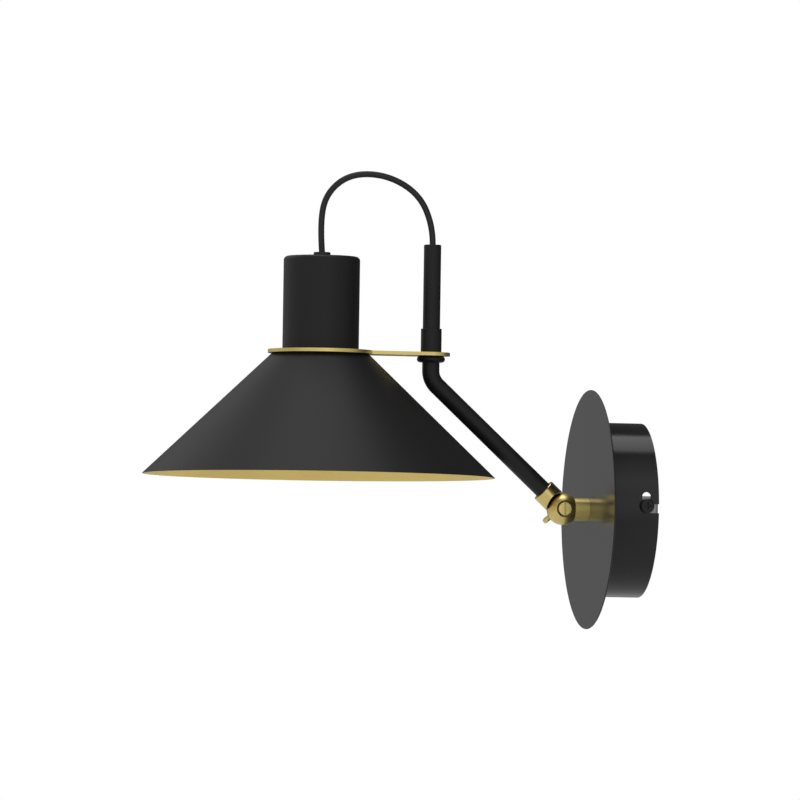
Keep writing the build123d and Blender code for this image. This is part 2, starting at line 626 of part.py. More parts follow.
def holder_screws():
    screw = slotted_head(HOLDER_SCREW_HEAD_D, HOLDER_SCREW_HEAD_HIGH,
                         HOLDER_SCREW_D / 4, HOLDER_SCREW_HEAD_HIGH / 2)
    long = CONTACT_BASE_THICK + SHELL_WALL
    screw += rod(HOLDER_SCREW_D, long, -long)
    return [SHADE_AXIS * Pos(side * HOLDER_SCREW_X, 0, HOLDER_TOP) * screw for side in (-1, 1)]


def centre_contact():
    reach = (SHELL_WINDOW_D - CONTACT_WIDTH) / 2
    tongue = Polyline((-reach, 0), (0, 0), (reach, -CONTACT_DROP), (reach, -CONTACT_DROP - CONTACT_THICK),
                      (0, -CONTACT_THICK), (-reach, -CONTACT_THICK), close=True)
    strip = extrude(Plane.XZ * make_face(tongue), CONTACT_WIDTH / 2, both=True)
    return SHADE_AXIS * Pos(0, 0, CONTACT_LOW + CONTACT_WELL) * strip


def lampholder_cap():
    bore = HOLDER_NECK_D / 2 + CLOSE_FIT
    thread = NIPPLE_THREAD_D / 2
    cap = turned((bore, CAP_LOW), (bore + CAP_WALL, CAP_LOW), (bore + CAP_WALL, CAP_SKIRT_TOP),
                 (CAP_NECK_D / 2, CAP_NECK_LOW), (CAP_NECK_D / 2, CAP_TOP), (thread, CAP_TOP),
                 (thread, CAP_NECK_LOW), (bore, CAP_SKIRT_TOP))
    return SHADE_AXIS * cap


def cap_nipple():
    top = GRIP_TOP - GRIP_CROWN
    return SHADE_AXIS * hollow(NIPPLE_D, NIPPLE_BORE_D, top - CAP_NECK_LOW, CAP_NECK_LOW)


# Cord

def cord_path(points):
    """Straight runs joined by arcs as large as the runs allow. Returns the path and the radii."""
    runs = [b - a for a, b in zip(points, points[1:])]
    radii = []
    for before, after in zip(runs, runs[1:]):
        half_turn = radians(before.get_angle(after)) / 2
        radii.append(ARC_SHARE * min(before.length, after.length) / tan(half_turn))
    return FilletPolyline(*points, radius=radii), radii


def loop_cord():
    mouth = Vector(0, -POST_REACH, POST_TOP)
    end = Vector(0, -SHADE_REACH, GRIP_TOP - GRIP_CROWN / 2)
    points = [mouth, *[mouth + Vector(0, -away, up) for away, up in LOOP_POINTS], end]
    path, radii = cord_path(points)
    cord = swept(Circle(CORD_D / 2), path)
    expected = Circle(CORD_D / 2).area * path.length
    print("loop radii", [round(r, 1) for r in radii], "length", round(path.length, 1),
          "volume ratio", round(cord.volume / expected, 4))
    return cord


def holder_cable():
    top = GRIP_TOP - GRIP_CROWN
    return SHADE_AXIS * rod(CORD_D, top - HOLDER_TOP, HOLDER_TOP)


def arm_cable():
    return swept(Circle(CORD_D / 2), arm_route(FERRULE_SEAT))


def canopy_cable():
    route = FilletPolyline((0, -NIPPLE_FRONT, 0), (0, -TERMINAL_REACH, 0), (SHEATH_END_X, -TERMINAL_REACH, 0),
                           radius=min(CANOPY_BEND_R, SHEATH_END_X - CLOSE_FIT))
    return swept(Circle(CORD_D / 2), route)


def cable_cores():
    cores = []
    for side, pole in zip((-1, 1), POLE_OFFSETS):
        near = side * CORE_SPREAD / 2
        ends = [(SHEATH_END_X, near), (SHEATH_END_X + CORE_LEAD, near),
                (BLOCK_FACE - CORE_LEAD, pole), (BLOCK_X, pole)]
        route = FilletPolyline(*[(x, -TERMINAL_REACH, z) for x, z in ends], radius=CORE_BEND_R)
        cores.append(swept(Circle(CORE_D / 2), route))
    return cores


PIECES = {
    "wall_bracket": wall_bracket,
    "side_screws": side_screws,
    "earth_washer": earth_washer,
    "earth_screw": earth_screw,
    "terminal_block": terminal_block,
    "terminal_sleeves": terminal_sleeves,
    "clamp_screws": clamp_screws,
    "block_screw": block_screw,
    "canopy_drum": canopy_drum,
    "canopy_disc": canopy_disc,
    "stem_nipple": stem_nipple,
    "stem_washer": stem_washer,
    "stem_nut": stem_nut,
    "canopy_cable": canopy_cable,
    "cable_cores": cable_cores,
    "knuckle_base": knuckle_base,
    "friction_ring": friction_ring,
    "pivot_screw": pivot_screw,
    "wing_nut": wing_nut,
    "knuckle_arm": knuckle_arm,
    "wing_washer": wing_washer,
    "arm_tube": arm_tube,
    "post_bush": post_bush,
    "stop_collar": stop_collar,
    "arm_cable": arm_cable,
    "bracket_plate": bracket_plate,
    "hub_sleeve": hub_sleeve,
    "lamp_cup": lamp_cup,
    "cord_grip": cord_grip,
    "cap_nipple": cap_nipple,
    "shade": shade,
    "shade_ring": shade_ring,
    "lampholder_body": lampholder_body,
    "lampholder_cap": lampholder_cap,
    "screw_shell": screw_shell,
    "contact_base": contact_base,
    "holder_screws": holder_screws,
    "centre_contact": centre_contact,
    "holder_cable": holder_cable,
    "loop_cord": loop_cord,
}


def main():
    os.makedirs("parts", exist_ok=True)
    for name, make in PIECES.items():
        made = make()
        solids = made if isinstance(made, list) else [made]
        group = solids[0] if len(solids) == 1 else Compound(children=solids)
        group.label = name
        export_step(group, f"parts/{name}.step")


if __name__ == "__main__":
    main()
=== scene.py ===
from math import cos, radians, sin, tau

import bmesh
import bpy
import numpy as np
from bpy.props import FloatProperty, FloatVectorProperty, IntProperty, PointerProperty
from bpy.types import Operator, Panel, PropertyGroup
from mathutils import Matrix, Vector


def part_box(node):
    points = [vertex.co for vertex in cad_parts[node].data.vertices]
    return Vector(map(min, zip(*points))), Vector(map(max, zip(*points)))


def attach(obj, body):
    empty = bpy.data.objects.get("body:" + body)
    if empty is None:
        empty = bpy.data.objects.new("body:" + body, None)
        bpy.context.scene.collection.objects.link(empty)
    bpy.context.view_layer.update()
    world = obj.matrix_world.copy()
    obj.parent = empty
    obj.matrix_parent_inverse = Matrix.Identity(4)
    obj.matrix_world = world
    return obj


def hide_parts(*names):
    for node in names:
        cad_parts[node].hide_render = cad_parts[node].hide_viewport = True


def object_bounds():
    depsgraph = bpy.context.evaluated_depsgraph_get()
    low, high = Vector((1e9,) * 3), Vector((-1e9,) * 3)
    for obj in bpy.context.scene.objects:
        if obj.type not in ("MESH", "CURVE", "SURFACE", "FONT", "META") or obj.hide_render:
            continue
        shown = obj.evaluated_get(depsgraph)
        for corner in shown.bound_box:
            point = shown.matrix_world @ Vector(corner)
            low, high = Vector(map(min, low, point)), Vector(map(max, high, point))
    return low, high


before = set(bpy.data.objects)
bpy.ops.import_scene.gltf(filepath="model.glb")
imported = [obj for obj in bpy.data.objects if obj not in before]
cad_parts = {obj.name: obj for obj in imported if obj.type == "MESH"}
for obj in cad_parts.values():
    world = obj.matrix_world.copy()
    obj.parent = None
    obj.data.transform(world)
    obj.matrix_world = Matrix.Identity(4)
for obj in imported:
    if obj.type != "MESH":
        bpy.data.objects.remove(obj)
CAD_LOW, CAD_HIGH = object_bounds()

bl_info = {
    "name": "Wall lamp with a cone shade",
    "version": (1, 0, 0),
    "blender": (4, 5, 0),
    "location": "3D View > Sidebar > Lamp",
    "description": "Gives the packed wall lamp its cord, shade, threads and finishes",
    "category": "Object",
}

MM = 0.001


def middle(node):
    """Middle of a node's box."""
    low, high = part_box(node)
    return (low + high) / 2


SHADE_LOW, SHADE_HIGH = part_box("shade")
SHADE_AXIS = Vector((0, middle("shade").y, 0))
POST_MOUTH = Vector((0, middle("post_bush").y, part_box("post_bush")[1].z))


# Sizes and colours

def length(name, text, default):
    """A length that the panel shows in the scene's units."""
    return FloatProperty(name=name, description=text, default=default, min=0, unit="LENGTH", precision=4)


def colour(name, text, default):
    """A colour that the panel shows as a swatch."""
    return FloatVectorProperty(name=name, description=text, default=default, size=3, subtype="COLOR",
                               min=0, max=1)


class LampSizes(PropertyGroup):
    """Sizes of the pieces that are made here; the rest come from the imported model."""
    shade_wall: length("Shade wall", "Thickness of the sheet of the shade", 0.8 * MM)
    shade_shoulder: length("Shade shoulder", "Rounding where the cone meets its flat top", 1.5 * MM)
    cord_diameter: length("Cord", "Diameter of the black cord", 4.5 * MM)
    core_diameter: length("Core", "Diameter of one insulated core", 1.8 * MM)
    loop_length: length("Loop", "Length of cord between the post and the cup", 156 * MM)
    socket_pitch: length("Socket pitch", "Rise of the socket's thread in one turn", 3.62 * MM)
    socket_depth: length("Socket depth", "Depth of the socket's rolled thread", 0.9 * MM)
    nipple_pitch: length("Nipple pitch", "Rise of a nipple's thread in one turn", 1.0 * MM)
    nipple_depth: length("Nipple depth", "Depth of a nipple's thread", 0.55 * MM)
    ring_ribs: IntProperty(name="Ribs", description="Finger ribs round the shade ring", default=36, min=8)
    rib_depth: length("Rib depth", "Depth of the grooves between the ribs", 0.8 * MM)
    ferrule_arc: length("Ferrule arc", "Radius about the pivot to which the ferrule is cut away", 12.6 * MM)


class LampColours(PropertyGroup):
    """Colours of the finishes."""
    paint: colour("Paint", "Satin black paint of canopy, arm, cup and shade", (0.014, 0.014, 0.0143))
    gold: colour("Gold", "Gold lacquer inside the shade", (0.95, 0.72, 0.24))
    brass: colour("Brass", "Brushed brass of knuckle and plate", (0.85, 0.675, 0.22))
    # Zinc plating, partly its own grey and partly painted shade: darkened well below plain zinc for the
    # tab, which shows only in the shade of the canopy's slot
    zinc: colour("Zinc", "Zinc plating of bracket and small parts", (0.3, 0.305, 0.31))
    dark_screw: colour("Dark screw", "Blackened steel of the side screws", (0.016, 0.016, 0.0163))
    holder: colour("Lampholder", "Black moulding of the lampholder", (0.014, 0.014, 0.014))
    block: colour("Block", "White moulding of the terminal block", (0.78, 0.77, 0.73))
    sheath: colour("Cord", "Black sheath of the cord", (0.011, 0.011, 0.0115))
    live_core: colour("Upper core", "Insulation of the upper core", (0.16, 0.062, 0.022))
    neutral_core: colour("Lower core", "Insulation of the lower core", (0.03, 0.12, 0.42))
    fibre: colour("Fibre", "Friction ring of the knuckle", (0.22, 0.07, 0.035))


# Shader maths

class Field:
    """A socket whose sums, differences and products add Math nodes."""

    def __init__(self, finish, socket):
        self.finish = finish
        self.socket = socket

    def math(self, operation, *values):
        return self.finish.node("ShaderNodeMath", {"operation": operation}, dict(enumerate(values)))

    def __add__(self, other):
        return self.math("ADD", self, other)

    __radd__ = __add__

    def __sub__(self, other):
        return self.math("SUBTRACT", self, other)

    def __rsub__(self, other):
        return self.math("SUBTRACT", other, self)

    def __mul__(self, other):
        return self.math("MULTIPLY", self, other)

    __rmul__ = __mul__

    def __gt__(self, other):
        return self.math("GREATER_THAN", self, other)

    def clamped(self):
        return self.math("MINIMUM", self.math("MAXIMUM", self, 0.0), 1.0)

    def smooth(self, low, high):
        """0 below low, 1 above high, eased between them."""
        return self.finish.node("ShaderNodeMapRange", {"interpolation_type": "SMOOTHSTEP"},
                                {"Value": self, "From Min": low, "From Max": high})


class Finish:
    """A material or world that is built node by node."""

    def __init__(self, name, owner=None):
        self.data = owner or bpy.data.materials.new(name)
        self.data.use_nodes = True
        self.tree = self.data.node_tree
        self.tree.nodes.clear()

    def node(self, kind, settings=None, sockets=None, out=0):
        """A node with its settings set first, then its sockets, each a value or another field."""
        made = self.tree.nodes.new(kind)
        for key, value in (settings or {}).items():
            setattr(made, key, value)
        for key, value in (sockets or {}).items():
            if isinstance(value, Field):
                self.tree.links.new(value.socket, made.inputs[key])
            else:
                made.inputs[key].default_value = value
        return Field(self, made.outputs[out])

    def place(self):
        """Object coordinates, in metres."""
        return self.node("ShaderNodeTexCoord", out="Object")

    def part_of(self, vector, axis):
        """One number of a vector: axis is 0, 1 or 2."""
        return self.node("ShaderNodeSeparateXYZ", sockets={0: vector}, out=axis)

    def noise(self, grains, detail=2.0, turn=(0, 0, 0)):
        """Noise from 0 to 1, with one number of grains per metre, or one for each axis."""
        stretch = grains if isinstance(grains, tuple) else (grains,) * 3
        moved = self.node("ShaderNodeMapping",
                          sockets={"Vector": self.place(), "Rotation": turn, "Scale": stretch})
        return self.node("ShaderNodeTexNoise", sockets={"Vector": moved, "Scale": 1.0, "Detail": detail})

    def blend(self, factor, first, second):
        """A colour between two others."""
        full = [value if isinstance(value, Field) else (*value, 1.0) for value in (first, second)]
        return self.node("ShaderNodeMix", {"data_type": "RGBA"}, {0: factor, 6: full[0], 7: full[1]}, out=2)

    def tones(self, factor, base, dark, light):
        """A colour between a darker and a lighter shade of a base colour."""
        return self.blend(factor, shade_of(base, dark), shade_of(base, light))

    def openness(self, distance):
        """1 on open surfaces, less in grooves and corners that are narrower than a distance."""
        return self.node("ShaderNodeAmbientOcclusion", {"samples": 8}, {"Distance": distance}, out="AO")

    def bump(self, height, distance, strength):
        """Normals of a height that goes from 0 to 1 over a distance."""
        return self.node("ShaderNodeBump",
                         sockets={"Height": height, "Distance": distance, "Strength": strength})

    def surface(self, **sockets):
        """The material's shader, with its sockets named by their labels."""
        named = {key.replace("_", " "): value for key, value in sockets.items()}
        return self.output(self.node("ShaderNodeBsdfPrincipled", sockets=named))

    def output(self, shader):
        """Ends the tree with a shader and returns its material or world."""
        kind = "World" if isinstance(self.data, bpy.types.World) else "Material"
        end = self.tree.nodes.new("ShaderNodeOutput" + kind)
        self.tree.links.new(shader.socket, end.inputs["Surface"])
        return self.data


def shade_of(base, share):
    """A colour made lighter or darker."""
    return tuple(min(1.0, value * share) for value in base)


# Finishes: grains of noise are per metre, roughness and gloss go from 0 to 1

# Painted shade: grooves and gaps between parts that are narrower than this width are darkened to this share
# of the metal's colour
GROOVE_WIDTH = 4 * MM
GROOVE_SHADE = 0.06
LACQUER, LACQUER_ROUGH = 0.8, 0.15
GOLD_METAL = 0.55
# Share of red, green and blue in the yellowish patches of the zinc
ZINC_WARMTH = (1.1, 1.08, 0.98)
# Grains of the brushing along x, y and z: many across the lines and few along them
STEM_BRUSH, ARM_BRUSH, PIVOT_BRUSH = (60, 3000, 60), (60, 60, 3000), (2500, 90, 90)
PLATE_BRUSH, SHELL_BRUSH = (2500, 40, 2500), (80, 80, 2500)
ARM_BRUSH_TURN = (radians(-47.26), 0, 0)


def satin_paint(name, base, rough, gloss):
    """Black powder coat: a fine orange peel, with cloudy gloss."""
    finish = Finish(name)
    cloud = finish.noise(14, detail=3.0)
    peel = finish.noise(700)
    grain = finish.noise(2600, detail=1.0)
    return finish.surface(
        Base_Color=finish.tones(cloud, base, 0.85, 1.15),
        Roughness=rough - 0.04 + 0.05 * cloud + 0.03 * grain,
        Specular_IOR_Level=gloss,
        Normal=finish.bump(0.7 * peel + 0.3 * grain, 0.02 * MM, strength=0.5))


def gold_lacquer(name, base):
    """Sprayed gold: fine bright flakes in a satin coat."""
    finish = Finish(name)
    flakes = finish.noise(3000, detail=1.0)
    cloud = finish.noise(18, detail=3.0)
    tone = (0.5 * flakes + 0.5 * cloud).smooth(0.3, 0.7)
    return finish.surface(
        Base_Color=finish.tones(tone, base, 0.9, 1.1),
        Metallic=GOLD_METAL,
        Roughness=0.42 + 0.1 * flakes,
        Normal=finish.bump(flakes, 0.02 * MM, strength=0.4))


def brushed_metal(name, base, brush, turn=(0, 0, 0), rough=0.22):
    """Lacquered metal with fine lines, noise drawn out along the brush, and painted shade that darkens its
    grooves and the gaps between parts.
    """
    finish = Finish(name)
    lines = finish.noise(brush, detail=3.0, turn=turn)
    cloud = finish.noise(60)
    tone = (0.6 * lines + 0.4 * cloud).smooth(0.25, 0.75)
    bright = finish.tones(tone, base, 0.93, 1.08)
    # Painted shade: grooves, recesses and gaps between parts get a nearly black colour in place of the
    # brass
    unshaded = finish.openness(GROOVE_WIDTH).smooth(0.25, 0.55)
    return finish.surface(
        Base_Color=finish.blend(unshaded, shade_of(base, GROOVE_SHADE), bright),
        Metallic=1.0,
        Roughness=rough - 0.04 + 0.06 * lines + 0.06 * cloud,
        Coat_Weight=LACQUER,
        Coat_Roughness=LACQUER_ROUGH,
        Normal=finish.bump(lines, 0.03 * MM, strength=0.4))


def plated_steel(name, base):
    """Zinc plating: bluish grey with cloudy bright and dull patches and a trace of yellow."""
    finish = Finish(name)
    cloud = finish.noise(150, detail=4.0)
    fine = finish.noise(1400, detail=1.0)
    warm = tuple(min(1.0, value * share) for value, share in zip(base, ZINC_WARMTH))
    return finish.surface(
        Base_Color=finish.blend(cloud.smooth(0.3, 0.7), shade_of(base, 0.88), warm),
        Metallic=1.0,
        Roughness=0.26 + 0.16 * cloud,
        Normal=finish.bump(0.5 * cloud + 0.5 * fine, 0.015 * MM, strength=0.5))


def moulded(name, base, rough):
    """Moulded plastic: a fine sparked grain."""
    finish = Finish(name)
    grain = finish.noise(1800)
    cloud = finish.noise(40)
    return finish.surface(
        Base_Color=finish.tones(cloud, base, 0.93, 1.07),
        Roughness=rough - 0.04 + 0.08 * grain,
        Normal=finish.bump(grain, 0.02 * MM, strength=0.5))


def cord_sheath(name, base):
    """Smooth black sheath: faint waves and a soft sheen."""
    finish = Finish(name)
    wave = finish.noise(120)
    grain = finish.noise(2200, detail=1.0)
    return finish.surface(
        Base_Color=finish.tones(wave, base, 0.85, 1.2),
        Roughness=0.4 + 0.1 * wave,
        Normal=finish.bump(0.6 * wave + 0.4 * grain, 0.02 * MM, strength=0.4))


def core_insulation(name, upper, lower):
    """Glossy wire insulation: one colour above the middle of the canopy and one below."""
    finish = Finish(name)
    height = finish.part_of(finish.place(), 2)
    grain = finish.noise(900, detail=1.0)
    return finish.surface(
        Base_Color=finish.blend(height > 0.0, lower, upper),
        Roughness=0.28 + 0.1 * grain,
        Normal=finish.bump(grain, 0.01 * MM, strength=0.3))


def pressed_fibre(name, base):
    """Pressed fibre: short dark threads in a dull red sheet."""
    finish = Finish(name)
    threads = finish.noise((200, 1500, 1500), detail=3.0)
    return finish.surface(
        Base_Color=finish.tones(threads, base, 0.6, 1.3),
        Roughness=0.7 + 0.1 * threads,
        Normal=finish.bump(threads, 0.05 * MM, strength=0.5))


# Surfaces

# Directions of a turned piece: where the turn starts, where it goes, and the axis
UP = (Vector((1, 0, 0)), Vector((0, 1, 0)), Vector((0, 0, 1)))
OUT = (Vector((1, 0, 0)), Vector((0, 0, 1)), Vector((0, -1, 0)))
ACROSS = (Vector((0, 1, 0)), Vector((0, 0, 1)), Vector((1, 0, 0)))

ARC_STEPS = 8
# Where the points that hold a flat run lie, as a share of the arc's own run
HOLD = 0.2
SHARP_ANGLE, THREAD_SHARP_ANGLE = radians(32), radians(75)


def grid_faces(rows, columns):
    """Quads of a grid that closes on itself both ways, as vertex numbers."""
    row, column = np.meshgrid(np.arange(rows), np.arange(columns), indexing="ij")
    below, beside = (row + 1) % rows, (column + 1) % columns
    corners = ((row, column), (row, beside), (below, beside), (below, column))
    return np.stack([r * columns + c for r, c in corners], axis=-1).reshape(-1, 4)


def rounded(corners, steps=ARC_STEPS):
    """Outline of (radius, height, rounding) corners, each with an arc that touches both runs.

    An arc of radius q in a corner that turns by 2a starts q tan(a) before the corner.
    Two points close to each arc hold the flat runs flat.
    """
    points = []
    places = [np.array(corner[:2], float) for corner in corners]
    for number, here in enumerate(places):
        rounding = corners[number][2]
        if rounding == 0:
            points.append(here)
            continue
        into = here - places[number - 1]
        out = places[(number + 1) % len(places)] - here
        into, out = into / np.hypot(*into), out / np.hypot(*out)
        turn = np.arctan2(into[0] * out[1] - into[1] * out[0], into @ out)
        run = rounding * np.tan(abs(turn) / 2)
        start = here - into * run
        side = np.sign(turn) * np.array([-into[1], into[0]])
        angle = np.linspace(0, abs(turn), steps + 1)[:, None]
        arc = start + rounding * (np.sin(angle) * into + (1 - np.cos(angle)) * side)
        points.extend([start - HOLD * run * into, *arc, arc[-1] + HOLD * run * out])
    return np.array(points)


def turned(radius, height, centre, axes=UP, columns=192):
    """Points of a profile turned about an axis: P = centre + r (cos t, sin t) + h along the axis.

    radius and height are one number for each row, or for each row and column.
    """
    angle = np.linspace(0, tau, columns, endpoint=False)[:, None]
    across, along, axis = (np.array(direction) for direction in axes)
    spokes = np.cos(angle) * across + np.sin(angle) * along
    radius, height = (value.reshape(len(value), -1)[..., None] for value in (radius, height))
    return np.array(centre) + radius * spokes + height * axis


def placed(name, data):
    """A new object in the scene."""
    made = bpy.data.objects.new(name, data)
    bpy.context.scene.collection.objects.link(made)
    return made


def grid_mesh(name, points):
    """Closed mesh through a grid of points."""
    mesh = bpy.data.meshes.new(name)
    mesh.from_pydata(points.reshape(-1, 3), [], grid_faces(*points.shape[:2]))
    return mesh


def finished(mesh, finishes, sharp=SHARP_ANGLE):
    """Gives a mesh its finishes, and smooth faces between edges that turn by more than an angle."""
    for finish in finishes:
        mesh.materials.append(finish)
    mesh.polygons.foreach_set("use_smooth", np.ones(len(mesh.polygons), bool))
    mesh.set_sharp_from_angle(angle=sharp)


def stands_for(made, body, node):
    """Puts a new piece on its body, in the place of a CAD node."""
    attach(made, body)
    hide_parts(node)


def piece(name, points, finishes, body, node, row_finish=None, sharp=SHARP_ANGLE):
    """A closed piece from a grid of points; row_finish has the number of each row's finish."""
    mesh = grid_mesh(name, points)
    finished(mesh, finishes, sharp)
    if row_finish is not None:
        mesh.polygons.foreach_set("material_index", np.repeat(row_finish, points.shape[1]))
    mesh.update()
    stands_for(placed(name, mesh), body, node)


def cable(name, routes, diameter, finish):
    """Round cables, each a NURBS spline whose control points are one route."""
    curve = bpy.data.curves.new(name, "CURVE")
    curve.dimensions = "3D"
    curve.bevel_depth = diameter / 2
    curve.bevel_resolution = 6
    curve.resolution_u = 24
    curve.use_fill_caps = True
    curve.materials.append(finish)
    for route in routes:
        spline = curve.splines.new("NURBS")
        spline.points.add(len(route) - 1)
        weights = np.ones((len(route), 1))
        spline.points.foreach_set("co", np.hstack([np.array(route), weights]).ravel())
        spline.order_u = 3
        spline.use_endpoint_u = True
        spline.use_smooth = True
    return placed(name, curve)


def dress(finish, *nodes):
    """Gives CAD nodes that stay a finish."""
    for name in nodes:
        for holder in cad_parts[name].material_slots:
            holder.material = finish


def sizes():
    return bpy.context.scene.lamp_sizes


def colours():
    return bpy.context.scene.lamp_colours


# Pieces

# Control points of the loop, away from the post and up, in millimetres
LOOP_ROUTE = [(0, 0), (0, 12.9), (10.1, 36.0), (33.8, 49.5), (61.1, 49.8), (78.8, 35.2), (83.0, 13.3),
              (81.15, -7.9)]


class LAMP_OT_loop_cord(Operator):
    """Cord that runs in a loop from the mouth of the post into the cup"""
    bl_idname = "lamp.loop_cord"
    bl_label = "Loop of cord"

    def execute(self, context):
        diameter = sizes().cord_diameter
        sheath = cord_sheath("cord_sheath", colours().sheath)
        route = [POST_MOUTH + Vector((0, -away * MM, up * MM)) for away, up in LOOP_ROUTE]
        loop = cable("loop_cord_sheath", [route], diameter, sheath)
        stands_for(loop, "head", "loop_cord")
        return {"FINISHED"}


# Where the cores leave the cable, to each side of its middle, and their straight run at both ends
CORE_SIDE, CORE_LEAD = 1.0 * MM, 3.0 * MM
# Middle of the lower end of the arm's cable, in and up from the corner of its box
ARM_FOOT_IN, ARM_FOOT_UP = 1.53 * MM, 1.65 * MM
# Rise of the arm for each metre away from the wall
ARM_SLOPE = 0.9241
# Shares of the slope and of the post where the bend of the cable starts and ends
BEND_START, BEND_END = 0.85, 0.2
# Room below the loop, which turns with the head
LOOP_GAP = 0.25 * MM


class LAMP_OT_wiring(Operator):
    """Cable inside canopy, arm and cup, and the two cores that go to the terminals"""
    bl_idname = "lamp.wiring"
    bl_label = "Wiring"

    def execute(self, context):
        low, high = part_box("canopy_cable")
        level = high.y - sizes().cord_diameter / 2
        self.run("canopy", "canopy_cable", [
            (0, low.y, 0), (0, (low.y + level) / 2, 0), (0, level, 0), (high.x, level, 0)])
        self.cores(level, sizes().core_diameter)

        low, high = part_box("arm_cable")
        foot = Vector((0, high.y - ARM_FOOT_IN, low.z + ARM_FOOT_UP))
        elbow = Vector((0, POST_MOUTH.y, foot.z + (foot.y - POST_MOUTH.y) * ARM_SLOPE))
        end = POST_MOUTH - Vector((0, 0, LOOP_GAP))
        self.run("arm", "arm_cable", [
            foot, foot.lerp(elbow, BEND_START), elbow, elbow.lerp(end, BEND_END), end])

        low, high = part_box("holder_cable")
        heights = (low.z, (low.z + high.z) / 2, high.z)
        self.run("head", "holder_cable", [(0, SHADE_AXIS.y, height) for height in heights])
        return {"FINISHED"}

    def run(self, body, node, route):
        """One run of the black cable along a route."""
        sheath = bpy.data.materials["cord_sheath"]
        made = cable(node + "_sheath", [route], sizes().cord_diameter, sheath)
        stands_for(made, body, node)

    def cores(self, level, diameter):
        """Two cores that spread from the end of the cable to the poles of the terminal block."""
        low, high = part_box("cable_cores")
        pole, block = high.z - diameter / 2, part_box("terminal_block")[0].x
        routes = [[(low.x, level, side * CORE_SIDE), (low.x + CORE_LEAD, level, side * CORE_SIDE),
                   (block - CORE_LEAD, level, side * pole), (high.x, level, side * pole)]
                  for side in (-1, 1)]
        insulation = core_insulation("core_insulation", colours().live_core, colours().neutral_core)
        made = cable("insulated_cores", routes, diameter, insulation)
        stands_for(made, "canopy", "cable_cores")


# Radii of the flat top and of its hole, and the rounding of the rim
SHADE_TOP, SHADE_HOLE, RIM_ROUNDING = 34.78 * MM, 20.0 * MM, 0.16 * MM


class LAMP_OT_shade(Operator):
    """Cone shade of thin sheet, black outside and gold inside"""
    bl_idname = "lamp.shade"
    bl_label = "Shade"

    def execute(self, context):
        """Outline from the hole along the lining to the rim, and back outside; the wall is even.

        Seen level, a wall w on a slope of length s and height h is w s / h wide.
        """
        wall, shoulder = sizes().shade_wall, sizes().shade_shoulder
        rim, low, high = SHADE_HIGH.x, SHADE_LOW.z, SHADE_HIGH.z
        slant = np.hypot(rim - SHADE_TOP, high - low)
        inset = wall * slant / (high - low)
        inside = SHADE_TOP + (rim - SHADE_TOP) * wall / (high - low) - inset
        outline = rounded([
            (SHADE_HOLE, high - wall, 0), (inside, high - wall, shoulder - wall),
            (rim - inset, low, RIM_ROUNDING), (rim, low, RIM_ROUNDING),
            (SHADE_TOP, high, shoulder), (SHADE_HOLE, high, 0)])
        corner_rows = ARC_STEPS + 3
        lining_rows = 1 + corner_rows + corner_rows // 2 + 1
        lining = np.arange(len(outline)) < lining_rows
        points = turned(outline[:, 0], outline[:, 1], SHADE_AXIS, columns=288)
        finishes = [satin_paint("shade_paint", colours().paint, rough=0.46, gloss=0.27),
                    gold_lacquer("gold_lacquer", colours().gold)]
        piece("shade_cone", points, finishes, "head", "shade", lining.astype(int))
        return {"FINISHED"}


SHELL_WALL, SHELL_FLOOR, SHELL_WINDOW, SHELL_ROWS = 0.5 * MM, 0.45 * MM, 7.5 * MM, 120
RING_BORE, RING_BORE_ROUNDING, RING_ROUNDING = 19.75 * MM, 0.3 * MM, 0.8 * MM
# Band at the outside of the ring over which the ribs grow, and the power that narrows their grooves
RIB_BAND, RIB_POWER, RIB_COLUMNS = 0.9 * MM, 1.5, 10


